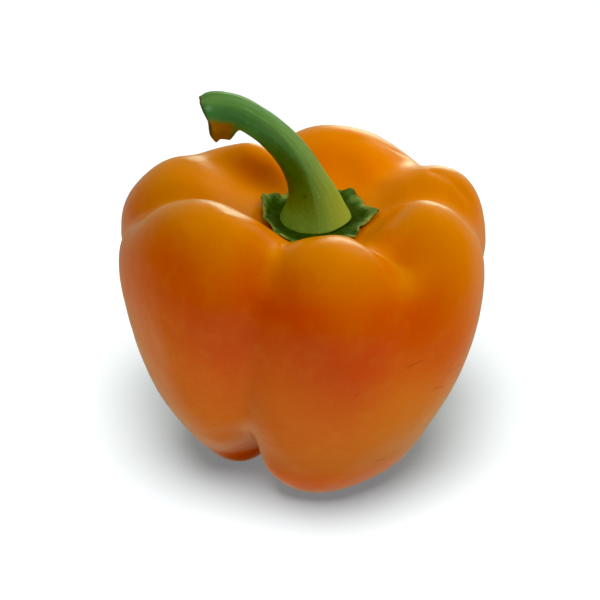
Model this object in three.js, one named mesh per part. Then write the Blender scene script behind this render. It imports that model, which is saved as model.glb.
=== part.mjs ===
// An orange bell pepper as picked: the fruit stands on its four feet, with its calyx and cut stem on top.
// Millimetres, +Z up. The origin is on the surface that the fruit stands on, under the middle of its box.

import * as THREE from "three";
import { ParametricGeometry } from "three/addons/geometries/ParametricGeometry.js";

const GAP = 0.3; // left between two pieces that touch

// The middle of the hollow that the calyx lies in, a little off the fruit's axis.
const SEAT = { x: 2.8, y: 3.5, z: 60.2 };

// The fruit's outline down the middle of a lobe, as [radius, height]: from the blossom scar out over a
// foot, up the side, over the shoulder and down the hollow to the middle of the calyx's seat.
const LOBE_OUTLINE = [
  [0, 6], [7, 5], [15, 1.5], [23, -0.9], [31, 5], [37, 17], [42, 31], [45, 46],
  [44, 59], [38.5, 68], [31, 71.5], [23.5, 69.5], [17, 64], [10, SEAT.z], [0, SEAT.z],
];
// The same stations down the bottom of a cleft between two lobes.
const CLEFT_OUTLINE = [
  [0, 6], [6, 6.5], [11, 7], [17, 8.5], [25, 12], [31.5, 22], [36, 34], [38.5, 47],
  [37.5, 57], [32.5, 62], [27, 64], [21, 63.5], [15.5, 61.5], [9.5, SEAT.z], [0, SEAT.z],
];

// Clefts part the lobes from foot to shoulder, and furrows only dent a shoulder. Each one's angle is where
// it crosses the shoulder, in degrees from +X towards +Y. Its foot lies the lean's degrees before that.
// The depths are shares of the way from the lobe's outline to the cleft's.
const CLEFTS = [
  { at: -104, lean: 20, footSpread: 8, spread: 11, foot: 1, side: 0.85, shoulder: 1 },
  { at: -48, lean: 14, footSpread: 14, spread: 14, foot: 0, side: 0.1, shoulder: 1.4 },
  { at: 4, lean: 13, footSpread: 9, spread: 11, foot: 1, side: 0.8, shoulder: 1 },
  { at: 40, lean: 6, footSpread: 12, spread: 13, foot: 0, side: 0.15, shoulder: 0.95 },
  { at: 108, lean: 15, footSpread: 9, spread: 12, foot: 1, side: 0.85, shoulder: 1 },
  { at: 140, lean: 8, footSpread: 14, spread: 14, foot: 0, side: 0.1, shoulder: 0.5 },
  { at: 180, lean: 14, footSpread: 9, spread: 12, foot: 1, side: 0.8, shoulder: 1 },
];

// How far each shoulder stands out and up from the plain outline, in millimetres.
const SHOULDERS = [
  { at: -172, out: 1.8, up: 3.2 },
  { at: -138, out: -0.5, up: 6.8 },
  { at: -118, out: -0.5, up: 7.2 },
  { at: -80, out: -1, up: 3.5 },
  { at: -20, out: 0.5, up: 3 },
  { at: 18, out: 4.2, up: 2.2 },
  { at: 58, out: 1, up: 2 },
  { at: 87, out: 0, up: 1.6 },
  { at: 118, out: -2, up: 3.2 },
  { at: 158, out: 4.6, up: 0.2 },
];

// How far each lobe's foot and lower side stand out, in millimetres, below these angles of its shoulder.
const LOBES = [
  { at: -145, foot: -3.5, side: -1.5 },
  { at: -112, foot: -6, side: -1 },
  { at: -60, foot: -1.3, side: 0 },
  { at: -14, foot: -2, side: -0.6 },
  { at: 53, foot: -1, side: 0 },
  { at: 140, foot: -1, side: 0 },
];
const CLEFT_ROUNDING = 4; // degrees over which a cleft's bottom is rounded
const CLEFT_FALL = 1.25;  // 1 makes a cleft's sides straight at the bottom, 2 makes them round

// Stretches of the outline, as shares of the way from the blossom scar to the calyx's seat.
const FOOT_TO_SIDE = [0.15, 0.42];
const SIDE_TO_SHOULDER = [0.42, 0.66];
const LEAN_STRETCH = [0.15, 0.65];
const SPREAD_STRETCH = [0.2, 0.6];
const SEAT_STRETCH = [0.7, 0.9];
// Each of these values rises over the first two shares and falls over the last two.
const FOOT_WINDOW = [0.04, 0.2, 0.25, 0.42];
const SIDE_WINDOW = [0.25, 0.36, 0.42, 0.6];
const SHOULDER_OUT_WINDOW = [0.35, 0.55, 0.72, 0.9];
const SHOULDER_UP_WINDOW = [0.45, 0.7, 0.72, 0.92];
const FRUIT_SECTORS = 90;
const FRUIT_RINGS = 50;

// The calyx is a thin cup that lies in the hollow. Its teeth run out from the rim and curl up or down.
const CALYX_RIM = 11.5;           // radius between the teeth
const CALYX_THICKNESS = 1.1;
const CALYX_CLEARANCE = 0.5;      // straight up from the fruit, which is less where the hollow is steep
const CALYX_LIFT = 0.6;           // how far the rim stands clear between the teeth
const CALYX_LIFT_STRETCH = [0.6, 1]; // shares of the rim's radius over which it lifts
const CALYX_FLOOR_RADIUS = 9.9;
const CALYX_FLOOR = SEAT.z + 1.7; // the level top that the stem stands on
const CALYX_TOOTH_SPREAD = 19;    // degrees from a tooth's tip to where its side meets the rim
const CALYX_TOOTH_CURVE = 1.3;    // 1 makes a tooth's sides straight, more hollows them
const CALYX_TEETH = [
  { at: -117, long: 5.2, lift: 0.1 },
  { at: -54, long: 2.8, lift: 0.6 },
  { at: 3, long: 3.8, lift: 0.3 },
  { at: 51, long: 3, lift: 0.8 },
  { at: 105, long: 2.6, lift: 1.2 },
  { at: 156, long: 2.4, lift: 3.2 },
  { at: 204, long: 1.4, lift: 1.9 },
];
const CALYX_SECTORS = 120;
const CALYX_RINGS = 14;

// The stem's stations from its flared foot to its cut end: the place of its middle, then its radius.
const STEM_STATIONS = [
  [SEAT.x, SEAT.y, CALYX_FLOOR + GAP, 8.8], [SEAT.x, SEAT.y, 65.5, 6.8], [2.2, 3.5, 69, 5.3],
  [0.7, 3.4, 73, 4.5], [-1.8, 3.2, 77.8, 4.1], [-5.3, 3, 82.3, 3.9],
  [-10, 2.8, 86.8, 3.8], [-15.5, 2.7, 90.2, 3.9], [-21.3, 2.5, 91.2, 4.1],
];
const STEM_FACETS = 5;
const STEM_RIDGE_AT = -63;     // degrees round the stem from its outer side to the ridge that faces front
const STEM_RIDGE_SHARE = 0.4;  // 0 makes the stem round, 1 makes it a prism with sharp ridges
const STEM_CUT_SLANT = 0.65;   // how far the cut runs back along the stem for each millimetre down
const STEM_CUT_STRETCH = [0.85, 1];
const STEM_CUT_ROUNDING = 1.2; // how far the cut's skin edge is rolled over
const STEM_CUT_DISH = 1;       // how far the pith is sunk in the cut end
// The torn skin that hangs under the cut end: how far it hangs, how much further at its tip, the shares of
// the stem's length over which each begins, and its half width in degrees.
const STEM_FLAP = { hang: 3.2, from: [0.81, 0.87], tip: 1.2, tipFrom: [0.97, 1], halfWidth: 30 };
const STEM_SIDES = 40;
const STEM_FOOT_RINGS = 2;
const STEM_SIDE_RINGS = 36;
const STEM_END_RINGS = 5;

const DEGREE = Math.PI / 180;

function outlineCurve(stations) {
  return new THREE.SplineCurve(stations.map(([radius, height]) => new THREE.Vector2(radius, height)));
}
const lobeCurve = outlineCurve(LOBE_OUTLINE);
const cleftCurve = outlineCurve(CLEFT_OUTLINE);

// A share that eases from 0 to 1 as a value crosses a stretch.
const easeOver = ([start, end], value) => THREE.MathUtils.smoothstep(value, start, end);

// A share that eases up to 1 and back to 0 as a value crosses a window.
const windowOver = ([start, full, fading, end], value) =>
  easeOver([start, full], value) * (1 - easeOver([fading, end], value));

// The smallest turn in degrees from one angle to another.
const turnBetween = (from, to) => ((((to - from) % 360) + 540) % 360) - 180;

// A value that is 1 at the bottom of a cleft and dies away over its spread.
function cleftShape(away, spread) {
  const soft = Math.hypot(away, CLEFT_ROUNDING) - CLEFT_ROUNDING;
  return Math.exp(-Math.pow(soft / spread, CLEFT_FALL));
}

// A cleft's depth, which runs smoothly from the foot to the side to the shoulder.
function depthAlong(cleft, along) {
  const { lerp } = THREE.MathUtils;
  const lower = lerp(cleft.foot, cleft.side, easeOver(FOOT_TO_SIDE, along));
  return lerp(lower, cleft.shoulder, easeOver(SIDE_TO_SHOULDER, along));
}

// A value of the named kind at an angle, eased from each entry of a ring to the next.
function aroundRing(ring, kind, degrees) {
  let before = ring[0];
  let after = ring[0];
  let back = -360;
  let ahead = 360;
  for (const entry of ring) {
    const away = turnBetween(degrees, entry.at);
    const forward = away < 0 ? away + 360 : away;
    const backward = forward - 360;
    if (forward < ahead) [ahead, after] = [forward, entry];
    if (backward > back) [back, before] = [backward, entry];
  }
  return THREE.MathUtils.lerp(before[kind], after[kind], easeOver([back, ahead], 0));
}

// How much of the lobe's outline is left after the clefts, from 1 on a lobe to 0 in a cleft.
function wholeness(degrees, along) {
  let whole = 1;
  for (const cleft of CLEFTS) {
    const spread = THREE.MathUtils.lerp(cleft.footSpread, cleft.spread, easeOver(SPREAD_STRETCH, along));
    whole *= 1 - depthAlong(cleft, along) * cleftShape(turnBetween(cleft.at, degrees), spread);
  }
  return whole;
}

// A point of the fruit's skin: turn goes once round, along goes from the scar to the calyx's seat.
function fruitPoint(turn, along, target) {
  const { lerp } = THREE.MathUtils;
  const degrees = turn * 360;
  const whole = wholeness(degrees, along);
  const lobe = lobeCurve.getPoint(along);
  const cleft = cleftCurve.getPoint(along);
  const out =
    windowOver(SHOULDER_OUT_WINDOW, along) * aroundRing(SHOULDERS, "out", degrees) +
    windowOver(SIDE_WINDOW, along) * aroundRing(LOBES, "side", degrees) +
    windowOver(FOOT_WINDOW, along) * aroundRing(LOBES, "foot", degrees);
  const up = windowOver(SHOULDER_UP_WINDOW, along) * aroundRing(SHOULDERS, "up", degrees);
  const radius = lerp(cleft.x, lobe.x, whole) + out;
  const height = lerp(cleft.y, lobe.y, whole) + up;
  const lean = aroundRing(CLEFTS, "lean", degrees) * (1 - easeOver(LEAN_STRETCH, along));
  const angle = (degrees - lean) * DEGREE;
  const shift = easeOver(SEAT_STRETCH, along);
  const x = radius * Math.cos(angle) + SEAT.x * shift;
  const y = radius * Math.sin(angle) + SEAT.y * shift;
  target.set(x, y, Math.max(height, 0));
}

function makeFruit() {
  const geometry = new ParametricGeometry(fruitPoint, FRUIT_SECTORS, FRUIT_RINGS);
  const skin = new THREE.MeshStandardMaterial({ color: 0xd9690a, roughness: 0.35, metalness: 0 });
  const fruit = new THREE.Mesh(geometry, skin);
  fruit.name = "fruit";
  return fruit;
}

// The height of the fruit's skin under a point in the hollow, found by looking straight down on it.
function skinHeight(fruit, x, y) {
  const eye = new THREE.Vector3(x, y, 200);
  const down = new THREE.Vector3(0, 0, -1);
  return new THREE.Raycaster(eye, down).intersectObject(fruit)[0].point.z;
}

// The calyx's rim at an angle: its radius, and how far it stands clear of the skin.
function calyxRim(degrees) {
  let radius = CALYX_RIM;
  let lift = CALYX_LIFT;
  for (const tooth of CALYX_TEETH) {
    const share = 1 - Math.abs(turnBetween(tooth.at, degrees)) / CALYX_TOOTH_SPREAD;
    if (share <= 0) continue;
    radius += tooth.long * Math.pow(share, CALYX_TOOTH_CURVE);
    lift += (tooth.lift - CALYX_LIFT) * share;
  }
  return { radius, lift };
}

// The calyx's skin runs out along its underside to the rim, then back over its top to the middle.
function makeCalyx(fruit) {
  const point = (turn, along, target) => {
    const degrees = turn * 360;
    const rim = calyxRim(degrees);
    const share = 1 - Math.abs(1 - 2 * along);
    const radius = rim.radius * share;
    const x = SEAT.x + radius * Math.cos(degrees * DEGREE);
    const y = SEAT.y + radius * Math.sin(degrees * DEGREE);
    const lift = CALYX_CLEARANCE + rim.lift * easeOver(CALYX_LIFT_STRETCH, share);
    const under = skinHeight(fruit, x, y) + lift;
    const outside = easeOver([CALYX_FLOOR_RADIUS, CALYX_RIM], radius);
    const over = THREE.MathUtils.lerp(CALYX_FLOOR, under + CALYX_THICKNESS, outside);
    target.set(x, y, along > 0.5 ? over : under);
  };
  const geometry = new ParametricGeometry(point, CALYX_SECTORS, CALYX_RINGS);
  const leaf = new THREE.MeshStandardMaterial({ color: 0x3f6b2a, roughness: 0.55, metalness: 0 });
  const calyx = new THREE.Mesh(geometry, leaf);
  calyx.name = "calyx";
  return calyx;
}

// The share of the full radius that a stem with soft facets has at an angle round it.
function facetShare(angle) {
  const facet = (2 * Math.PI) / STEM_FACETS;
  const past = (((angle - STEM_RIDGE_AT * DEGREE) % facet) + facet) % facet;
  const prism = Math.cos(facet / 2) / Math.cos(past - facet / 2);
  return THREE.MathUtils.lerp(1, prism, STEM_RIDGE_SHARE);
}

// The torn skin's drop at a place along the stem and an angle round it. Half a turn is the underside.
function flapDrop(onLine, angle) {
  const away = Math.abs(turnBetween(180, angle / DEGREE)) / STEM_FLAP.halfWidth;
  const length = STEM_FLAP.hang * easeOver(STEM_FLAP.from, onLine);
  const tip = STEM_FLAP.tip * easeOver(STEM_FLAP.tipFrom, onLine);
  return (length + tip) * (1 - easeOver([0, 1], away));
}

// The stem is a faceted tube along its middle line, with a flared foot and a slanted, dished cut end.
function makeStem() {
  const { clamp } = THREE.MathUtils;
  const line = new THREE.CatmullRomCurve3(STEM_STATIONS.map(([x, y, z]) => new THREE.Vector3(x, y, z)));
  const radii = new THREE.SplineCurve(STEM_STATIONS.map(([, , , radius], i) => new THREE.Vector2(i, radius)));
  const back = new THREE.Vector3(0, 1, 0);
  const rings = STEM_FOOT_RINGS + STEM_SIDE_RINGS + STEM_END_RINGS;
  const point = (turn, along, target) => {
    const ring = along * rings;
    const onFoot = clamp(ring / STEM_FOOT_RINGS, 0, 1);
    const onLine = clamp((ring - STEM_FOOT_RINGS) / STEM_SIDE_RINGS, 0, 1);
    const onCut = clamp((ring - STEM_FOOT_RINGS - STEM_SIDE_RINGS) / STEM_END_RINGS, 0, 1);
    const inward = onFoot * (1 - onCut);
    const angle = turn * 360 * DEGREE;
    const radius = radii.getPoint(onLine).y * facetShare(angle) * inward;
    const tangent = line.getTangent(onLine);
    const across = back.clone().addScaledVector(tangent, -back.dot(tangent)).normalize();
    const outer = new THREE.Vector3().crossVectors(across, tangent);
    const slant = STEM_CUT_SLANT * radius * Math.cos(angle) * easeOver(STEM_CUT_STRETCH, onLine);
    const roll = STEM_CUT_ROUNDING * Math.sin(Math.min(onCut * 4, 1) * 90 * DEGREE);
    const dish = STEM_CUT_DISH * easeOver([0.25, 0.9], onCut);
    target.copy(line.getPoint(onLine));
    target.addScaledVector(across, radius * Math.sin(angle));
    target.addScaledVector(outer, radius * Math.cos(angle));
    target.addScaledVector(tangent, slant + roll - dish);
    target.z -= flapDrop(onLine, angle) * inward;
  };
  const geometry = new ParametricGeometry(point, STEM_SIDES, rings);
  const bark = new THREE.MeshStandardMaterial({ color: 0x4c7a34, roughness: 0.5, metalness: 0 });
  const stem = new THREE.Mesh(geometry, bark);
  stem.name = "stem";
  return stem;
}

const pepper = new THREE.Group();
const fruit = makeFruit();
pepper.add(fruit, makeCalyx(fruit), makeStem());

export default pepper;
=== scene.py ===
# An orange bell pepper as picked: glossy skin, frilled calyx and a cut, torn stem, on a pale studio floor.
# Sizes are in millimetres and become metres where a mesh, light or camera is made. +Z is up.

import math

import bmesh
import bpy
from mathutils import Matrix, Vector


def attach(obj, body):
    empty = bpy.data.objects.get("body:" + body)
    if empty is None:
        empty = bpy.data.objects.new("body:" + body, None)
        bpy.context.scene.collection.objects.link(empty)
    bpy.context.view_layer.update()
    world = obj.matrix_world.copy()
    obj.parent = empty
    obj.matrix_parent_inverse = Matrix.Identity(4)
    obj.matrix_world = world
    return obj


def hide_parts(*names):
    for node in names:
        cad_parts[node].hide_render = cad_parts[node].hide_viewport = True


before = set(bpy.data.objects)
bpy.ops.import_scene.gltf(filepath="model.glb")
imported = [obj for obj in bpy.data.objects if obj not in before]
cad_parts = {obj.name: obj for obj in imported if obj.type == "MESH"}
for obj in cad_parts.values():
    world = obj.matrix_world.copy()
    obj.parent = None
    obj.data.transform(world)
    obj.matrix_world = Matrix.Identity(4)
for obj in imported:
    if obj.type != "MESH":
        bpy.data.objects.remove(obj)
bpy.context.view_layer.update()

MM = 0.001
WELD = 0.01 * MM # points closer than this are one point

# The middle of the hollow that the calyx lies in, and the height of the skin there.
SEAT = Vector((2.8, 3.5, 60.2))

# Skin
SKIN = {
    "Levels": 2,
    "Swell Height": 0.5 * MM,
    "Swell Spacing": 21 * MM,
    "Ripple Height": 0.12 * MM,
    "Ripple Spacing": 6 * MM,
}
SKIN_RELIEF_FROM = (0.2, 5) # heights over which the relief comes in, so that the feet stay flat
# Places where the skin swells or sinks a little: the middle of each, how far it reaches and its push.
SKIN_SWELLS = [
    {"name": "back lobe, right shoulder", "at": (26.5, 25, 64.5), "reach": 7.5, "push": 1.6},
    {"name": "back lobe, crest", "at": (9, 29, 72.5), "reach": 10, "push": -0.9},
    {"name": "right lobe, outer rim", "at": (38, 14, 65), "reach": 8, "push": 1.2},
    {"name": "right lobe, near crest", "at": (28, 15, 67.5), "reach": 5, "push": -0.7},
    {"name": "front lobe, right shoulder", "at": (16.5, -27, 67), "reach": 6, "push": 1.3},
    {"name": "front saddle", "at": (21, -25.5, 62.5), "reach": 6, "push": 1.3},
    {"name": "left saddle", "at": (-19, 21, 69.3), "reach": 7.5, "push": -1.2},
    {"name": "left lobe, crest", "at": (-28, 15.5, 69), "reach": 9, "push": 1.7},
    {"name": "far left lobe, crest", "at": (-10.5, 20, 69.5), "reach": 6.5, "push": 2.1},
    {"name": "left cleft", "at": (-39.5, -3, 59), "reach": 7, "push": 2.2},
    {"name": "left side", "at": (-39.5, -19.5, 48), "reach": 13, "push": -0.8},
    {"name": "left front foot", "at": (-17, -16, 6), "reach": 8, "push": -1.5},
    {"name": "front foot, left side", "at": (-8, -27, 11), "reach": 6, "push": 1.1},
]
# Shallow lines and dents in the skin: where each starts and ends, its half width and its depth.
SKIN_CREASES = [
    {"name": "back shoulder", "start": (13, 25.5, 71), "end": (24, 25.5, 66), "width": 1.5, "depth": 0.3},
    {"name": "front saddle", "start": (12.3, -23, 70), "end": (22.6, -21.5, 63), "width": 1.2, "depth": 0.25},
    {"name": "front top", "start": (-17, -20.5, 77), "end": (-12.5, -21, 74.5), "width": 1.6, "depth": 0.12},
    {"name": "right lobe", "start": (31, 11, 70), "end": (40, 8, 64), "width": 1.8, "depth": 0.5},
    {"name": "left shoulder", "start": (-38.5, 3, 62.5), "end": (-32, -5, 69), "width": 2.2, "depth": 0.4},
    {"name": "cleft", "start": (-9.8, -35.5, 61), "end": (-13.6, -32.5, 32), "width": 3.2, "depth": 0.7},
    {"name": "blossom scar", "start": (0, 0, 6), "end": (0, 0.5, 6), "width": 2.4, "depth": 0.8},
]
# Short scratches and dots in the skin: where each starts and ends, and its half width.
SKIN_MARKS = [
    {"start": (23.3, -35.2, 44.9), "end": (26.8, -32.6, 45), "width": 0.16},
    {"start": (30, -29.3, 35), "end": (32.4, -26.7, 33.9), "width": 0.18},
    {"start": (33.5, -26.6, 38.2), "end": (36.7, -22.1, 36.9), "width": 0.14},
    {"start": (37.3, -22.6, 41.2), "end": (37.7, -22.4, 43.7), "width": 0.12},
    {"start": (17.3, -30.5, 15.1), "end": (19.4, -28.8, 14.7), "width": 0.22},
    {"start": (11.6, -41.4, 42), "end": (12.3, -41.2, 41.7), "width": 0.14},
    {"start": (-35.7, -25, 60.1), "end": (-31.9, -29.1, 61.3), "width": 0.1},
    {"start": (12.1, -30.1, 70.4), "end": (13, -29.6, 70), "width": 0.16},
    {"start": (-6.1, 17, 63.8), "end": (-6, 17, 63.8), "width": 0.3},
    {"start": (-10.3, -31.7, 67.5), "end": (-10.2, -31.7, 67.5), "width": 0.22},
]
# The skin is golden on its shoulders, and less so below them, where it gains a little to the right.
# Partly the skin's own ripening tone, partly painted light: golden where light falls from above and from the
# right.
GOLD_HEIGHTS = (52, 76)
GOLD_BELOW = 0.53
GOLD_TO_RIGHT = 0.011
# A belt of deeper orange runs round the lobes. It sinks to the right, waves, and fades at the sides.
# The belt is partly the skin's own deeper tone, partly painted shade on the lobes' shaded fronts.
BELT_HEIGHT = 55.5
BELT_HALF_WIDTH = 17
BELT_SINKS = 0.2
BELT_WAVE = {"start": -25.5, "length": 28, "height": 4}
BELT_DEPTH = 0.9
BELT_FADES = 0.45
HALF_ACROSS = 44
# Stretches over which other tones of the skin come in or die away.
LIT_HOLLOW_REACH = (20, 36)
PAINTED_GLOW_TO_BACK = (6, 20)
PAINTED_GLOW_TO_RIGHT = (-2, 9)
SHADE_HEIGHTS = (4, 46)
FOOT_PAINTED_LIGHT_HEIGHTS = (4, 18)
SKIN_TONES = {
    "belt": "#D04200",
    "gold": "#E28200",
    # painted light in the hollow round the calyx
    "hollow": "#F68C00",
    # painted light: the glow of the hollow
    "no glow": "#000000",
    "painted_glow": "#C05A00",
    "shade": "#A8521C",
    # painted light bounced up from the floor
    "foot": "#E85008",
    "fleck": "#E89000",
    "dot": "#F0A030",
    "scratch": "#8A3C10",
}

# Calyx: a thin ribbed cup whose teeth run out from the rim and curl up or down.
CALYX = {
    "Rim": 12.2 * MM,
    "Thickness": 1.1 * MM,
    "Edge Thickness": 0.45 * MM,
    "Clearance": 0.5 * MM,
    "Lift": 0.6 * MM,
    "Floor Radius": 9.9 * MM,
    "Floor": (SEAT.z + 1.7) * MM,
    "Rib Height": 0.45 * MM,
    "Flute": 0.45 * MM,
    "Frill": 1.1 * MM,
    "Sectors": 480,
    "Rings": 64,
}
CALYX_EDGE = (0.72, 1) # shares of the way out over which the cup grows thin and frilled
CALYX_FLUTES = 11
CALYX_RIB_REACH = 5 # degrees
CALYX_TOOTH_SPREAD = 28 # degrees
CALYX_TOOTH_CURVE = 1.6
# Teeth: the way each points in degrees, how far it runs out and how high its tip stands.
CALYX_TEETH = [
    {"at": -117, "long": 5.4, "lift": 0},
    {"at": -54, "long": 2.1, "lift": 0.6},
    {"at": 3, "long": 3.1, "lift": 0.3},
    {"at": 27, "long": 0.9, "lift": 0.4},
    {"at": 51, "long": 2.3, "lift": 0.8},
    {"at": 105, "long": 1.9, "lift": 1.2},
    {"at": 156, "long": 1.7, "lift": 3.2},
    {"at": 204, "long": 0.7, "lift": 1.9},
]
CALYX_TONES = {
    "dark": "#34502A",
    "light": "#5E8040",
    "rib": "#5F8530",
    # painted shade in the hollow round the stem
    "hollow": "#2C3414",
    "pale_rim_patches": "#A8B45C",
}

# Stem: its stations from the flared foot to the cut end, as the place of its middle and its radius.
STEM_STATIONS = [
    (2.8, 3.5, 61.7, 8.8), (2.5, 3.5, 65.5, 7.1), (1.8, 3.5, 69, 5.9),
    (0.4, 3.4, 73, 4.9), (-2, 3.2, 77.8, 4.3), (-5.3, 3, 82.3, 4.0),
    (-10, 2.8, 86.8, 3.8), (-15.5, 2.7, 90.2, 3.9), (-22, 2.5, 91.4, 4.1),
]
STEM = {
    "Facets": 5,
    "Ridge At": math.radians(-84),
    "Ridge Turn": math.radians(34),
    "Ridge Share": 0.38,
    "Groove Depth": 0.16 * MM,
    "Knot Height": 0.35 * MM,
    "Cut Slant": 0.62,
    "Cut Rounding": 1.0 * MM,
    "Cut Dish": 1.6 * MM,
    "End Round": 0.42,
    "Flap Hang": 4.0 * MM,
    "Flap Tip": 0.9 * MM,
    "Sides": 144,
    "Rings": 156,
}
# The shares of the mesh's rings that close the foot and that run up the side. The rest close the cut.
STEM_FOOT_SHARE = 0.04
STEM_SIDE_SHARE = 0.84
# Where each form comes in, as shares of the way from the foot to the cut.
STEM_RIDGE_TURNS = (0.1, 0.7)
STEM_FLAP_HANGS = (0.755, 0.86)
STEM_FLAP_TIP = (0.97, 1)
STEM_TEARS = (0.8, 0.87)
STEM_SLANTS = (0.85, 1)
STEM_FRAYS = (0.93, 1)
STEM_ROUNDS_FROM = 0.9
STEM_FLAP_HALF_WIDTH = math.radians(48)
STEM_FRAY_HEIGHT = 0.25 * MM
# The stem's paler side is partly its own colour and partly painted light.
STEM_LIT_SIDE = math.radians(5) # the way round the stem that its paler side faces
# The cream line is a painted highlight along the stem's upper edge.
STEM_HIGHLIGHT_LINE_SIDE = math.radians(48) # the way round the stem that its cream line runs
# Small spots on the stem.
STEM_MARKS = [
    {"at": (-21.6, -1.2, 92.9), "width": 0.7, "share": 0.6, "tone": "#A8C0A8"},
    {"at": (0.5, -1.2, 70.1), "width": 0.6, "share": 0.6, "tone": "#1C3810"},
]
STEM_TONES = {
    "dark": "#1A6434",
    "light": "#38863E",
    # partly painted light on the stem's lit side
    "pale": "#8CA452",
    # painted highlight along the upper edge
    "line": "#DCD8A4",
    "low": "#86B04C",
    # partly painted light on the lit side near the foot
    "foot": "#B4BC38",
    "streak": "#A4B060",
    "dot": "#B4BC68",
    "dark wound": "#6A4E10",
    "light wound": "#A87A18",
    "cut edge": "#5A4A20",
    "cut": "#A8A468",
}

# Camera and studio
CAMERA_ELEVATION = 32.5
CAMERA_DISTANCE = 480
CAMERA_TARGET = Vector((-0.73, 1.17, 39.84))
CAMERA_LENS = 118.8 # on a 36 mm wide sensor
SENSOR_WIDTH = 36
FLOOR_RADIUS = 4000
# The floor glows a little of itself, which keeps its shadow soft and pale.
FLOOR_GLOW = (0.93, 1.03, 1.06, 1)
FLOOR_GLOW_STRENGTH = 0.2
FLOOR_TONES = ("#7A7C7D", "#7D7F80")
ROOM_STRENGTH = 5
BLACK_LEVEL = 0.012 # takes a false blue out of the oranges

# Each light shines on the pepper or on the floor alone, as flags in a studio would make it.
# The skin mirrors none of them. Its cream edges come from the bright strip low in the room behind it.
LIGHTS = [
    {"name": "right softbox", "place": (450, 0, 580), "size": 320, "power": 1.6, "on": "pepper"},
    {"name": "left softbox", "place": (-450, 0, 580), "size": 320, "power": 0.75, "on": "pepper"},
    {"name": "front softbox", "place": (150, -400, 560), "size": 320, "power": 1.2, "on": "pepper"},
    {"name": "back softbox", "place": (330, 520, 440), "size": 360, "power": 0.9, "on": "pepper"},
    {"name": "floor softbox", "place": (-60, -770, 2930), "size": 2100, "power": 430, "on": "floor"},
]
LIGHTS_AIM = Vector((0, 0, 42))


# Node trees

class Wire:
    """A value in a node tree. Adding or multiplying wires puts the math node for it in their tree."""

    def __init__(self, tree, socket):
        self.tree = tree
        self.socket = socket

    def math(self, operation, *others):
        values = (self, *others)
        on_vectors = any(is_vector(value) for value in values)
        kind = "ShaderNodeVectorMath" if on_vectors else "ShaderNodeMath"
        node = self.tree.nodes.new(kind)
        node.operation = operation
        for socket, value in zip(node.inputs, values):
            feed(self.tree, socket, value)
        return Wire(self.tree, next(socket for socket in node.outputs if socket.enabled))

    def __add__(self, other):
        return self.math("ADD", other)

    def __sub__(self, other):
        return self.math("SUBTRACT", other)

    def __mul__(self, other):
        return self.math("MULTIPLY", other)

    def __truediv__(self, other):
        return self.math("DIVIDE", other)

    def __pow__(self, other):
        return self.math("POWER", other)

    def __neg__(self):
        return self.math("MULTIPLY", -1)

    __radd__ = __add__
    __rmul__ = __mul__

    def __rsub__(self, other):
        return (-self) + other

    def sin(self):
        return self.math("SINE")

    def cos(self):
        return self.math("COSINE")

    def abs(self):
        return self.math("ABSOLUTE")

    def at_least(self, low):
        return self.math("MAXIMUM", low)

    def at_most(self, high):
        return self.math("MINIMUM", high)

    def clamped(self):
        return self.at_least(0).at_most(1)

    def wrapped(self, low, high):
        return self.math("WRAP", high, low)

    def dot(self, other):
        return self.math("DOT_PRODUCT", other)

    def cross(self, other):
        return self.math("CROSS_PRODUCT", other)

    def length(self):
        return self.math("LENGTH")

    def unit(self):
        return self.math("NORMALIZE")

    def part(self, axis):
        node = self.tree.nodes.new("ShaderNodeSeparateXYZ")
        feed(self.tree, node.inputs[0], self)
        return Wire(self.tree, node.outputs[axis])

    def eased(self, start, end):
        """A share that eases from 0 to 1 as this value crosses the stretch."""
        sizes = {"Value": self, "From Min": start, "From Max": end}
        return add(self.tree, "ShaderNodeMapRange", sizes, interpolation_type="SMOOTHSTEP")


def is_vector(value):
    if isinstance(value, Wire):
        return value.socket.type == "VECTOR"
    return isinstance(value, (Vector, tuple))


def feed(tree, socket, value):
    """Links a wire to a socket, or sets the socket to a plain value."""
    if isinstance(value, Wire):
        tree.links.new(value.socket, socket)
    elif socket.type == "VECTOR" and isinstance(value, (int, float)):
        socket.default_value = (value, value, value)
    else:
        socket.default_value = value


def enabled_socket(sockets, name):
    return next(socket for socket in sockets if socket.enabled and name in (None, socket.name))


def add(tree, kind, inputs=None, output=None, **settings):
    """Adds a node with its settings and inputs, and returns one of its outputs as a wire."""
    node = tree.nodes.new(kind)
    for name, value in settings.items():
        setattr(node, name, value)
    for name, value in (inputs or {}).items():
        feed(tree, enabled_socket(node.inputs, name), value)
    return Wire(tree, enabled_socket(node.outputs, output))


def join_xyz(tree, x, y, z):
    return add(tree, "ShaderNodeCombineXYZ", {"X": x, "Y": y, "Z": z})


def noise(tree, place, spacing, detail=2, roughness=0.5):
    """Smooth noise from about -1 to 1 whose lumps lie about the spacing apart."""
    inputs = {"Vector": place / spacing, "Scale": 1, "Detail": detail, "Roughness": roughness}
    return add(tree, "ShaderNodeTexNoise", inputs, "Fac") * 2 - 1


def away_from_line(tree, place, start, end):
    """The distance from a place to the straight line between two points."""
    start, end = Vector(start), Vector(end)
    run = end - start
    from_start = place - start
    share = (from_start.dot(run) / run.length_squared).clamped()
    return (from_start - join_xyz(tree, *run) * share).length()


def fading(away):
    """1 in the middle of a line, dying away slowly past its half width."""
    return (away * away + 1) ** -2


def mound(away):
    """1 in the middle of a spot, dying away fast past its reach."""
    return (away * away * -1).math("EXPONENT")


def over(value, stretch):
    """A share that eases from 0 to 1 over a stretch given in millimetres."""
    start, end = stretch
    return value.eased(start * MM, end * MM)


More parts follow.
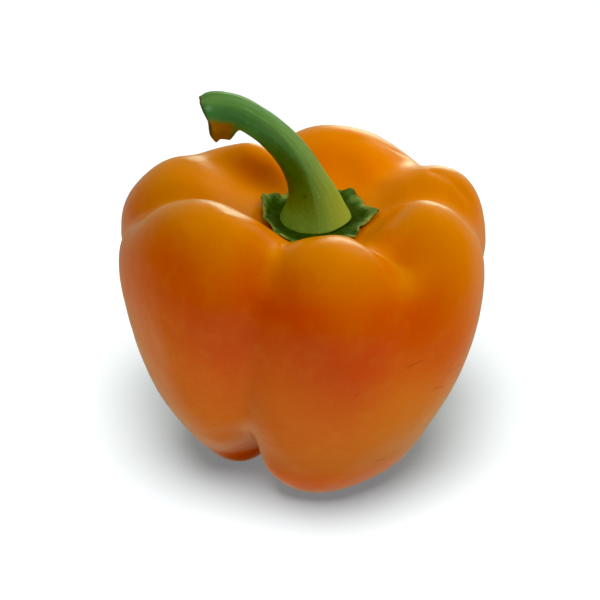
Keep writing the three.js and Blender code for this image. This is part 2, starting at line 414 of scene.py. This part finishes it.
def new_group(kind, name, inputs, outputs):
    """A node group with named inputs and outputs, each a number, a whole number, a colour or a vector."""
    tree = bpy.data.node_groups.new(name, kind)
    for way, sockets in (("INPUT", inputs), ("OUTPUT", outputs)):
        for label, value in sockets.items():
            socket_type = socket_type_of(value)
            socket = tree.interface.new_socket(name=label, in_out=way, socket_type=socket_type)
            if way == "INPUT" and value is not None:
                socket.default_value = value
    given_node = tree.nodes.new("NodeGroupInput")
    result = tree.nodes.new("NodeGroupOutput")
    given = {label: Wire(tree, given_node.outputs[label]) for label in inputs}
    return tree, given, result


def socket_type_of(value):
    if value is None:
        return "NodeSocketGeometry"
    if isinstance(value, int):
        return "NodeSocketInt"
    if isinstance(value, float):
        return "NodeSocketFloat"
    return "NodeSocketColor" if len(value) == 4 else "NodeSocketVector"


# Geometry trees

def new_shape_tree(name, sizes):
    return new_group("GeometryNodeTree", name, {"Geometry": None, **sizes}, {"Geometry": None})


def store(tree, shape, name, value):
    inputs = {"Geometry": shape, "Name": name, "Value": value}
    return add(tree, "GeometryNodeStoreNamedAttribute", inputs, data_type="FLOAT", domain="POINT")


def read(tree, name):
    return add(tree, "GeometryNodeInputNamedAttribute", {"Name": name}, "Attribute", data_type="FLOAT")


def close_shape(tree, shape, material, result):
    """Ends a tree: smooth shading, real geometry and the material."""
    shape = add(tree, "GeometryNodeSetShadeSmooth", {"Geometry": shape})
    shape = add(tree, "GeometryNodeRealizeInstances", {"Geometry": shape})
    shape = add(tree, "GeometryNodeSetMaterial", {"Geometry": shape, "Material": material})
    feed(tree, result.inputs["Geometry"], shape)


def run_tree(name, host_mesh, tree, sizes):
    """Evaluates a tree on a mesh and returns the result as a plain mesh object at the origin."""
    host = bpy.data.objects.new(name + ".host", host_mesh)
    bpy.context.scene.collection.objects.link(host)
    modifier = host.modifiers.new(tree.name, "NODES")
    modifier.node_group = tree
    for item in tree.interface.items_tree:
        if item.in_out == "INPUT" and item.name in sizes:
            modifier[item.identifier] = sizes[item.name]
    graph = bpy.context.evaluated_depsgraph_get()
    mesh = bpy.data.meshes.new_from_object(host.evaluated_get(graph))
    host.modifiers.remove(modifier)
    bpy.data.objects.remove(host)
    mesh.name = name
    piece = bpy.data.objects.new(name, mesh)
    bpy.context.scene.collection.objects.link(piece)
    return piece


def fruit_quads():
    """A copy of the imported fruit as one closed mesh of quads."""
    grid = bmesh.new()
    grid.from_mesh(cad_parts["fruit"].data)
    bmesh.ops.remove_doubles(grid, verts=grid.verts, dist=WELD)
    wide = math.radians(60)
    bmesh.ops.join_triangles(grid, faces=grid.faces, angle_face_threshold=wide, angle_shape_threshold=wide)
    mesh = bpy.data.meshes.new("fruit quads")
    grid.to_mesh(mesh)
    grid.free()
    return mesh


def make_skin(material):
    """The fruit's skin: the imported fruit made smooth, with soft swells, faint ripples and a few creases."""
    tree, given, result = new_shape_tree("Pepper skin", SKIN)
    place = add(tree, "GeometryNodeInputPosition")
    facing = add(tree, "GeometryNodeInputNormal")
    shape = store(tree, given["Geometry"], "upward", facing.part(2))
    inputs = {"Mesh": shape, "Level": given["Levels"]}
    shape = add(tree, "GeometryNodeSubdivisionSurface", inputs)
    relief = noise(tree, place, given["Swell Spacing"], 1) * given["Swell Height"]
    relief = relief + noise(tree, place, given["Ripple Spacing"], 1) * given["Ripple Height"]
    for swell in SKIN_SWELLS:
        away = (place - Vector(swell["at"]) * MM).length() / (swell["reach"] * MM)
        relief = relief + mound(away) * (swell["push"] * MM)
    for crease in SKIN_CREASES:
        start, end = Vector(crease["start"]) * MM, Vector(crease["end"]) * MM
        away = away_from_line(tree, place, start, end) / (crease["width"] * MM)
        relief = relief - fading(away) * (crease["depth"] * MM)
    off_floor = over(place.part(2), SKIN_RELIEF_FROM)
    inputs = {"Geometry": shape, "Offset": facing * (relief * off_floor)}
    shape = add(tree, "GeometryNodeSetPosition", inputs)
    close_shape(tree, shape, material, result)
    return run_tree("skin", fruit_quads(), tree, SKIN)


def closed_grid(tree, along_count, around_count):
    """A square grid, with how far each point is along it and around it, both from 0 to 1."""
    inputs = {"Size X": 1, "Size Y": 1, "Vertices X": along_count + 1, "Vertices Y": around_count + 1}
    grid = add(tree, "GeometryNodeMeshGrid", inputs)
    place = add(tree, "GeometryNodeInputPosition")
    grid = store(tree, grid, "along", place.part(0) + 0.5)
    grid = store(tree, grid, "around", place.part(1) + 0.5)
    return grid, read(tree, "along"), read(tree, "around")


def skin_height(tree, skin, x, y):
    """The height of the skin under a point in the hollow, found by looking straight down on it."""
    target = add(tree, "GeometryNodeObjectInfo", {"Object": skin}, "Geometry")
    inputs = {
        "Target Geometry": target,
        "Source Position": join_xyz(tree, x, y, 200 * MM),
        "Ray Direction": (0, 0, -1),
        "Ray Length": 1,
    }
    return add(tree, "GeometryNodeRaycast", inputs, "Hit Position").part(2)


def make_calyx(skin, material):
    """The calyx: its surface runs out along the underside to the rim, then back over the top."""
    tree, given, result = new_shape_tree("Pepper calyx", CALYX)
    grid, along, around = closed_grid(tree, given["Rings"], given["Sectors"])
    share = 1 - (1 - along * 2).abs()
    degrees = around * 360
    angle = around * math.tau
    round_place = join_xyz(tree, angle.cos(), angle.sin(), 0)
    radius = given["Rim"] + noise(tree, round_place, 0.09, 3) * given["Frill"] * 0.6
    lift = given["Lift"] + noise(tree, round_place + (3, 0, 0), 0.12, 3) * given["Frill"] * 0.5
    rib = angle * 0
    for tooth in CALYX_TEETH:
        away = (degrees - tooth["at"]).wrapped(-180, 180).abs()
        near = (1 - away / CALYX_TOOTH_SPREAD).at_least(0)
        radius = radius + near ** CALYX_TOOTH_CURVE * (tooth["long"] * MM)
        lift = lift + near * (tooth["lift"] * MM - given["Lift"])
        rib = rib + fading(away / CALYX_RIB_REACH)
    radius = radius * share
    x = angle.cos() * radius + SEAT.x * MM
    y = angle.sin() * radius + SEAT.y * MM
    flute = (angle * CALYX_FLUTES + noise(tree, round_place, 0.7, 1) * 3).sin() * given["Flute"]
    thin = share.eased(*CALYX_EDGE)
    standing = given["Clearance"] + (lift + flute) * thin
    under = skin_height(tree, skin, x, y) + standing
    outside = radius.eased(given["Floor Radius"], given["Rim"])
    thickness = given["Thickness"] + (given["Edge Thickness"] - given["Thickness"]) * thin
    ribbed = thickness + rib * given["Rib Height"] * (1 - thin * 0.6)
    top = given["Floor"] + (under + ribbed - given["Floor"]) * outside
    is_top = along.math("GREATER_THAN", 0.5)
    z = under + (top - under) * is_top
    grid = store(tree, grid, "edge", share)
    grid = store(tree, grid, "rib", rib)
    shape = add(tree, "GeometryNodeSetPosition", {"Geometry": grid, "Position": join_xyz(tree, x, y, z)})
    shape = add(tree, "GeometryNodeMergeByDistance", {"Geometry": shape, "Distance": WELD})
    close_shape(tree, shape, material, result)
    return run_tree("calyx_cup", bpy.data.meshes.new("calyx host"), tree, CALYX)


def stem_line():
    """The stem's middle line as a mesh of points, each with its radius."""
    mesh = bpy.data.meshes.new("stem line")
    places = [Vector(station[:3]) * MM for station in STEM_STATIONS]
    mesh.from_pydata(places, [(i, i + 1) for i in range(len(places) - 1)], [])
    radius = mesh.attributes.new("radius", "FLOAT", "POINT")
    for i, station in enumerate(STEM_STATIONS):
        radius.data[i].value = station[3] * MM
    return mesh


def make_stem(material):
    """The stem: a faceted, finely grooved tube along its middle line, with a slanted, dished cut end."""
    tree, given, result = new_shape_tree("Pepper stem", STEM)
    grid, along, around = closed_grid(tree, given["Rings"], given["Sides"])
    on_foot = (along / STEM_FOOT_SHARE).clamped()
    on_line = ((along - STEM_FOOT_SHARE) / STEM_SIDE_SHARE).clamped()
    cut_share = 1 - STEM_FOOT_SHARE - STEM_SIDE_SHARE
    on_cut = ((along - STEM_FOOT_SHARE - STEM_SIDE_SHARE) / cut_share).clamped()
    inward = on_foot * (1 - on_cut)
    angle = around * math.tau

    line = add(tree, "GeometryNodeMeshToCurve", {"Mesh": given["Geometry"]})
    line = add(tree, "GeometryNodeCurveSplineType", {"Curve": line}, spline_type="CATMULL_ROM")
    line = add(tree, "GeometryNodeSetSplineResolution", {"Geometry": line, "Resolution": 16})
    own_radius = add(tree, "GeometryNodeInputRadius")
    sample = {"Curves": line, "Value": own_radius, "Factor": on_line}
    middle = add(tree, "GeometryNodeSampleCurve", sample, "Position", data_type="FLOAT", mode="FACTOR")
    node = middle.socket.node
    radius = Wire(tree, enabled_socket(node.outputs, "Value"))
    tangent = Wire(tree, enabled_socket(node.outputs, "Tangent"))

    back = join_xyz(tree, 0, 1, 0)
    across = (back - tangent * tangent.dot(back)).unit()
    outer = across.cross(tangent)

    facet = given["Facets"] ** -1 * math.tau
    ridge = given["Ridge At"] + given["Ridge Turn"] * on_line.eased(*STEM_RIDGE_TURNS)
    past = (angle - ridge).wrapped(0, facet) - facet / 2
    prism = past.cos() ** -1 * (facet / 2).cos()
    round_place = join_xyz(tree, angle.cos(), angle.sin(), on_line * 2.2)
    grooves = noise(tree, join_xyz(tree, angle.cos(), angle.sin(), on_line * 0.7), 0.35, 2)
    knots = noise(tree, round_place, 0.8, 2)
    ridge_share = given["Ridge Share"] * (on_line.eased(0, 0.2) * 0.65 + 0.35)
    body = radius * (1 + (prism - 1) * ridge_share)
    body = body + grooves * given["Groove Depth"] + knots * given["Knot Height"]
    end_share = ((on_line - STEM_ROUNDS_FROM) / (1 - STEM_ROUNDS_FROM)).clamped()
    body = body * (1 - end_share * end_share * given["End Round"] * angle.cos().at_least(0))
    body = body * inward

    under = (angle - math.pi).wrapped(-math.pi, math.pi).abs() / STEM_FLAP_HALF_WIDTH
    drop = given["Flap Hang"] * on_line.eased(*STEM_FLAP_HANGS)
    drop = drop + given["Flap Tip"] * on_line.eased(*STEM_FLAP_TIP)
    drop = drop * (1 - under.eased(0.1, 1)) * inward
    torn = (1 - under.eased(0.9, 1.7)) * on_line.eased(*STEM_TEARS)

    slant = given["Cut Slant"] * body * angle.cos() * on_line.eased(*STEM_SLANTS)
    roll = given["Cut Rounding"] * ((on_cut * 4).at_most(1) * (math.pi / 2)).sin()
    ragged = noise(tree, round_place, 0.4, 2) * STEM_FRAY_HEIGHT * on_line.eased(*STEM_FRAYS)
    dish = given["Cut Dish"] * on_cut.eased(0.2, 0.75)
    place = middle + across * (body * angle.sin()) + outer * (body * angle.cos())
    place = place + tangent * (slant + roll - dish + ragged)
    place = place - join_xyz(tree, 0, 0, drop)
    grid = store(tree, grid, "on_line", on_line)
    grid = store(tree, grid, "on_cut", on_cut)
    grid = store(tree, grid, "torn", torn)
    shape = add(tree, "GeometryNodeSetPosition", {"Geometry": grid, "Position": place})
    shape = add(tree, "GeometryNodeMergeByDistance", {"Geometry": shape, "Distance": WELD})
    close_shape(tree, shape, material, result)
    return run_tree("stem_bark", stem_line(), tree, STEM)


# Shader groups

def colour(code):
    """A colour written as on a paint chart, made linear."""
    parts = [int(code[i:i + 2], 16) / 255 for i in (1, 3, 5)]
    linear = [part / 12.92 if part <= 0.04045 else ((part + 0.055) / 1.055) ** 2.4 for part in parts]
    return (*linear, 1.0)


def mix(share, first, second):
    tree = share.tree
    inputs = {"Factor": share, "A": first, "B": second}
    return add(tree, "ShaderNodeMix", inputs, "Result", data_type="RGBA", clamp_factor=True)


def new_shader_group(name, inputs, outputs):
    return new_group("ShaderNodeTree", name, inputs, outputs)


def mottle_group():
    """Soft uneven patches: a mask from 0 to 1."""
    inputs = {"Place": (0.0, 0.0, 0.0), "Spacing": 0.01, "Detail": 3.0, "Sharpness": 1.0}
    tree, given, result = new_shader_group("Mottle", inputs, {"Mask": 0.0})
    patches = noise(tree, given["Place"], given["Spacing"], given["Detail"], 0.55)
    mask = (patches * given["Sharpness"] + 0.5).clamped()
    feed(tree, result.inputs["Mask"], mask)
    return tree


def speckle_group():
    """Small dots scattered over a surface: a mask that is 1 in a dot."""
    inputs = {"Place": (0.0, 0.0, 0.0), "Spacing": 0.002, "Size": 0.2, "Share": 0.5}
    tree, given, result = new_shader_group("Speckle", inputs, {"Mask": 0.0})
    cell = tree.nodes.new("ShaderNodeTexVoronoi")
    feed(tree, cell.inputs["Vector"], given["Place"] / given["Spacing"])
    feed(tree, cell.inputs["Scale"], 1)
    away = Wire(tree, cell.outputs["Distance"])
    draw = add(tree, "ShaderNodeSeparateColor", {"Color": Wire(tree, cell.outputs["Color"])}, "Red")
    shown = draw.math("LESS_THAN", given["Share"])
    dot = (1 - away / given["Size"]).clamped()
    feed(tree, result.inputs["Mask"], dot * shown)
    return tree


def stroke_group():
    """A short mark between two points on a surface: a mask that is 1 on its line."""
    inputs = {"Place": (0.0, 0.0, 0.0), "Start": (0.0, 0.0, 0.0), "End": (0.0, 0.0, 0.0), "Width": 0.001}
    tree, given, result = new_shader_group("Stroke", inputs, {"Mask": 0.0})
    run = given["End"] - given["Start"]
    from_start = given["Place"] - given["Start"]
    along = (from_start.dot(run) / run.dot(run)).clamped()
    away = (from_start - run * along).length() / given["Width"]
    feed(tree, result.inputs["Mask"], mound(away))
    return tree


MOTTLE = mottle_group()
SPECKLE = speckle_group()
STROKE = stroke_group()


def use_group(tree, group, inputs):
    node = tree.nodes.new("ShaderNodeGroup")
    node.node_tree = group
    for name, value in inputs.items():
        feed(tree, node.inputs[name], value)
    return Wire(tree, node.outputs["Mask"])


# Materials

def new_material(name, settings):
    """A material with a Principled shader, whose constant values are set on its own sockets."""
    material = bpy.data.materials.new(name)
    material.use_nodes = True
    tree = material.node_tree
    shader = tree.nodes["Principled BSDF"]
    for label, value in settings.items():
        shader.inputs[label].default_value = value
    place = add(tree, "ShaderNodeTexCoord", output="Object")
    return material, tree, shader, place


def bump(tree, shader, height, distance):
    inputs = {"Height": height, "Distance": distance, "Strength": 1}
    feed(tree, shader.inputs["Normal"], add(tree, "ShaderNodeBump", inputs))


def surface_value(tree, name):
    return add(tree, "ShaderNodeAttribute", output="Fac", attribute_name=name)


def tones_of(codes):
    return {name: colour(code) for name, code in codes.items()}


def ripeness_and_painted_light(side, height):
    """How golden the skin is, partly its ripening tone and partly painted light and shade: least in the belt
    round the lobes, most on the shoulders.
    """
    low = side.at_least(0) * GOLD_TO_RIGHT + GOLD_BELOW
    full = low + (1 - low) * height.eased(*GOLD_HEIGHTS)
    turn = (side - BELT_WAVE["start"]) * (math.tau / BELT_WAVE["length"])
    wave = turn.sin() * BELT_WAVE["height"]
    from_belt = (height + side * BELT_SINKS + wave - BELT_HEIGHT) / BELT_HALF_WIDTH
    depth = BELT_DEPTH - (side / HALF_ACROSS) ** 2 * BELT_FADES
    return full * (1 - mound(from_belt) * depth)


def skin_material():
    settings = {
        "IOR": 1.45,
        "Specular IOR Level": 0.45,
        "Subsurface Weight": 0.12,
        "Subsurface Radius": (1.0, 0.35, 0.08),
        "Subsurface Scale": 0.004,
        "Emission Strength": 0.3,
    }
    material, tree, shader, place = new_material("pepper skin", settings)
    tones = tones_of(SKIN_TONES)
    side, back, height = place.part(0), place.part(1), place.part(2)
    broad = use_group(tree, MOTTLE, {"Place": place, "Spacing": 0.03, "Detail": 2, "Sharpness": 0.8})
    fine = use_group(tree, MOTTLE, {"Place": place, "Spacing": 0.004, "Detail": 4, "Sharpness": 0.8})
    dots = use_group(tree, SPECKLE, {"Place": place, "Spacing": 0.0012, "Size": 0.28, "Share": 0.6})
    ripe_and_lit = ripeness_and_painted_light(side / MM, height / MM) + (broad - 0.5) * 0.14
    # Painted light: faces turned upward are more golden.
    ripe_and_lit = ripe_and_lit + (1 - ripe_and_lit) * surface_value(tree, "upward").eased(0.4, 1)
    tone = mix(ripe_and_lit, tones["belt"], tones["gold"])
    # Painted light: the skin round the calyx's hollow is brighter and more golden.
    lit_hollow = 1 - over((place - SEAT * MM).length(), LIT_HOLLOW_REACH)
    tone = mix(lit_hollow * 0.7, tone, tones["hollow"])
    # Painted light: the skin of the hollow glows a little on the back lobe's side.
    painted_glow = lit_hollow * over(back, PAINTED_GLOW_TO_BACK) * over(side, PAINTED_GLOW_TO_RIGHT)
    feed(tree, shader.inputs["Emission Color"], mix(painted_glow, tones["no glow"], tones["painted_glow"]))
    tone = mix((1 - over(height, SHADE_HEIGHTS)) * 0.5, tone, tones["shade"])
    # Painted light: the skin near the floor turns a brighter red-orange, standing in for light bounced up
    # from it.
    tone = mix((1 - over(height, FOOT_PAINTED_LIGHT_HEIGHTS)) * 0.6, tone, tones["foot"])
    tone = mix((fine - 0.5).at_least(0) * 0.3, tone, tones["fleck"])
    tone = mix(dots * 0.1, tone, tones["dot"])
    marks = None
    for mark in SKIN_MARKS:
        start, end = Vector(mark["start"]) * MM, Vector(mark["end"]) * MM
        ends = {"Place": place, "Start": tuple(start), "End": tuple(end), "Width": mark["width"] * MM}
        mask = use_group(tree, STROKE, ends)
        marks = mask if marks is None else marks.at_least(mask)
    tone = mix(marks * 0.35, tone, tones["scratch"])
    feed(tree, shader.inputs["Base Color"], tone)
    rough = 0.31 + (fine - 0.5) * 0.06 + marks * 0.2
    feed(tree, shader.inputs["Roughness"], rough)
    peel = noise(tree, place, 0.0016, 2) + dots * 0.3 - marks * 2
    bump(tree, shader, peel, 0.00004)
    return material


def calyx_material():
    settings = {
        "Roughness": 0.5,
        "IOR": 1.45,
        "Specular IOR Level": 0.1,
        "Subsurface Weight": 0.08,
        "Subsurface Scale": 0.002,
    }
    material, tree, shader, place = new_material("calyx leaf", settings)
    tones = tones_of(CALYX_TONES)
    edge = surface_value(tree, "edge")
    rib = surface_value(tree, "rib")
    patches = use_group(tree, MOTTLE, {"Place": place, "Spacing": 0.003, "Detail": 4, "Sharpness": 1.1})
    pale_rim_patches = use_group(tree, MOTTLE, {"Place": place, "Spacing": 0.005, "Detail": 3, "Sharpness": 1.6})
    tone = mix(patches, tones["dark"], tones["light"])
    tone = mix(rib * 0.25, tone, tones["rib"])
    # Painted shade: the calyx is darker in the hollow between the stem and the rim.
    hollow = 1 - edge.eased(0.74, 0.92)
    tone = mix(hollow * 0.7, tone, tones["hollow"])
    # Paler in patches along the rim.
    rim = (edge + (patches - 0.5) * 0.16).eased(0.86, 0.99)
    tone = mix(rim * pale_rim_patches * 0.9, tone, tones["pale_rim_patches"])
    feed(tree, shader.inputs["Base Color"], tone)
    bump(tree, shader, noise(tree, place, 0.0007, 3), 0.00012)
    return material


def stem_material():
    settings = {"Roughness": 0.46, "IOR": 1.45, "Subsurface Weight": 0.06, "Subsurface Scale": 0.002}
    material, tree, shader, place = new_material("stem bark", settings)
    tones = tones_of(STEM_TONES)
    angle = surface_value(tree, "around") * math.tau
    on_line = surface_value(tree, "on_line")
    on_cut = surface_value(tree, "on_cut")
    torn = surface_value(tree, "torn")
    to_foot = 1 - on_line
    lit_pale_side = (angle - STEM_LIT_SIDE).cos() * 0.5 + 0.5
    patches = use_group(tree, MOTTLE, {"Place": place, "Spacing": 0.006, "Detail": 4, "Sharpness": 1.0})
    dots = use_group(tree, SPECKLE, {"Place": place, "Spacing": 0.0011, "Size": 0.3, "Share": 0.5})
    streak_place = join_xyz(tree, angle.cos(), angle.sin(), on_line * 1.2)
    streaks = noise(tree, streak_place, 0.3, 3)
    tone = mix(patches, tones["dark"], tones["light"])
    # Partly the stem's own colour, partly painted light: paler on the side facing the light, and yellower
    # there near the foot.
    pale = lit_pale_side.eased(0.4, 0.95) * (0.65 - on_line.eased(0.4, 0.75) * 0.35)
    tone = mix(pale, tone, tones["pale"])
    # Painted highlight: a cream line along the stem's upper edge.
    painted_highlight_line = (angle - STEM_HIGHLIGHT_LINE_SIDE).cos().eased(0.95, 0.995) * on_line.eased(0.45, 0.6)
    tone = mix(painted_highlight_line * 0.75, tone, tones["line"])
    tone = mix(to_foot.eased(0.55, 1) * 0.7, tone, tones["low"])
    tone = mix(to_foot.eased(0.55, 0.95) * lit_pale_side.eased(0.5, 1) * 0.6, tone, tones["foot"])
    tone = mix((streaks * 0.5 + 0.5).clamped() * 0.15, tone, tones["streak"])
    tone = mix(dots * (to_foot.eased(0.5, 1) * 0.4 + 0.2), tone, tones["dot"])
    for mark in STEM_MARKS:
        spot = tuple(Vector(mark["at"]) * MM)
        ends = {"Place": place, "Start": spot, "End": spot, "Width": mark["width"] * MM}
        tone = mix(use_group(tree, STROKE, ends) * mark["share"], tone, colour(mark["tone"]))
    tone = mix(torn, tone, mix(patches, tones["dark wound"], tones["light wound"]))
    tone = mix(on_cut.eased(0.02, 0.12), tone, tones["cut edge"])
    tone = mix(on_cut.eased(0.15, 0.35), tone, tones["cut"])
    feed(tree, shader.inputs["Base Color"], tone)
    bump(tree, shader, streaks * 0.6 + noise(tree, place, 0.0006, 3) * 0.4, 0.0001)
    return material


# Studio

def make_floor():
    mesh = bpy.data.meshes.new("floor")
    disc = bmesh.new()
    bmesh.ops.create_circle(disc, cap_ends=True, segments=96, radius=FLOOR_RADIUS * MM)
    disc.to_mesh(mesh)
    disc.free()
    floor = bpy.data.objects.new("floor", mesh)
    bpy.context.scene.collection.objects.link(floor)
    settings = {
        "Roughness": 0.7,
        "Emission Color": FLOOR_GLOW,
        "Emission Strength": FLOOR_GLOW_STRENGTH,
    }
    material, tree, shader, place = new_material("pale floor", settings)
    grain = use_group(tree, MOTTLE, {"Place": place, "Spacing": 0.4, "Detail": 2, "Sharpness": 0.5})
    darker, paler = (colour(code) for code in FLOOR_TONES)
    feed(tree, shader.inputs["Base Color"], mix(grain, darker, paler))
    mesh.materials.append(material)
    floor.visible_glossy = False
    return floor


def make_light(light, shone_on):
    lamp = bpy.data.lights.new(light["name"], "AREA")
    lamp.shape = "DISK"
    lamp.size = light["size"] * MM
    lamp.energy = light["power"]
    holder = bpy.data.objects.new(light["name"], lamp)
    bpy.context.scene.collection.objects.link(holder)
    holder.location = Vector(light["place"]) * MM
    aim = LIGHTS_AIM * MM - holder.location
    holder.rotation_euler = aim.to_track_quat("-Z", "Y").to_euler()
    holder.visible_glossy = light["on"] == "floor"
    holder.light_linking.receiver_collection = shone_on[light["on"]]


def group_of(name, pieces):
    """A collection of the pieces that a light shines on."""
    group = bpy.data.collections.new(name)
    for piece in pieces:
        group.objects.link(piece)
    return group


def make_world():
    """A dim room, pale above and round the table, with a bright strip low behind the pepper."""
    world = bpy.data.worlds.new("pale room")
    world.use_nodes = True
    tree = world.node_tree
    background = tree.nodes["Background"]
    way = add(tree, "ShaderNodeTexCoord", output="Generated")
    side, back, up = way.part(0), way.part(1), way.part(2)
    above = (back * 0.85 + up * 0.5).eased(0.05, 0.8) * up.eased(-0.15, 0.1)
    table = back.eased(-0.05, 0.5) * up.eased(0.1, -0.15)
    below = up.eased(-0.3, -0.85) * (1 - table)
    strip = back.eased(0.6, 0.95) * up.eased(-0.25, -0.02) * (1 - up.eased(0.15, 0.5))
    strip = strip * side.eased(-0.08, 0.12) * (1 - side.eased(0.2, 0.5))
    light = above * 0.1 + table * 0.1 + below * 0.03
    room = mix(light, colour("#000000"), colour("#F0FFD8"))
    feed(tree, background.inputs["Color"], mix(strip * 0.85, room, colour("#ECFFDC")))
    background.inputs["Strength"].default_value = ROOM_STRENGTH
    bpy.context.scene.world = world


def make_camera():
    camera = bpy.data.objects.new("camera", bpy.data.cameras.new("camera"))
    bpy.context.scene.collection.objects.link(camera)
    elevation = math.radians(CAMERA_ELEVATION)
    back = Vector((0, -math.cos(elevation), math.sin(elevation)))
    camera.location = (CAMERA_TARGET + back * CAMERA_DISTANCE) * MM
    camera.rotation_euler = (-back).to_track_quat("-Z", "Y").to_euler()
    camera.data.lens = CAMERA_LENS
    camera.data.sensor_width = SENSOR_WIDTH
    camera.data.clip_start = 10 * MM
    bpy.context.scene.camera = camera


def set_view():
    view = bpy.context.scene.view_settings
    view.view_transform = "Standard"
    view.use_curve_mapping = True
    view.curve_mapping.black_level = (BLACK_LEVEL, BLACK_LEVEL, BLACK_LEVEL)
    view.curve_mapping.update()


make_camera()
make_world()
set_view()

skin = make_skin(skin_material())
calyx_cup = make_calyx(skin, calyx_material())
stem_bark = make_stem(stem_material())
pieces = ((skin, "fruit", "skin"), (calyx_cup, "calyx", "calyx"), (stem_bark, "stem", "stem"))
for piece, node, slot in pieces:
    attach(piece, "root")
    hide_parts(node)
floor = make_floor()
shone_on = {
    "pepper": group_of("lit pepper", (skin, calyx_cup, stem_bark)),
    "floor": group_of("lit floor", (floor,)),
}
for light in LIGHTS:
    make_light(light, shone_on)
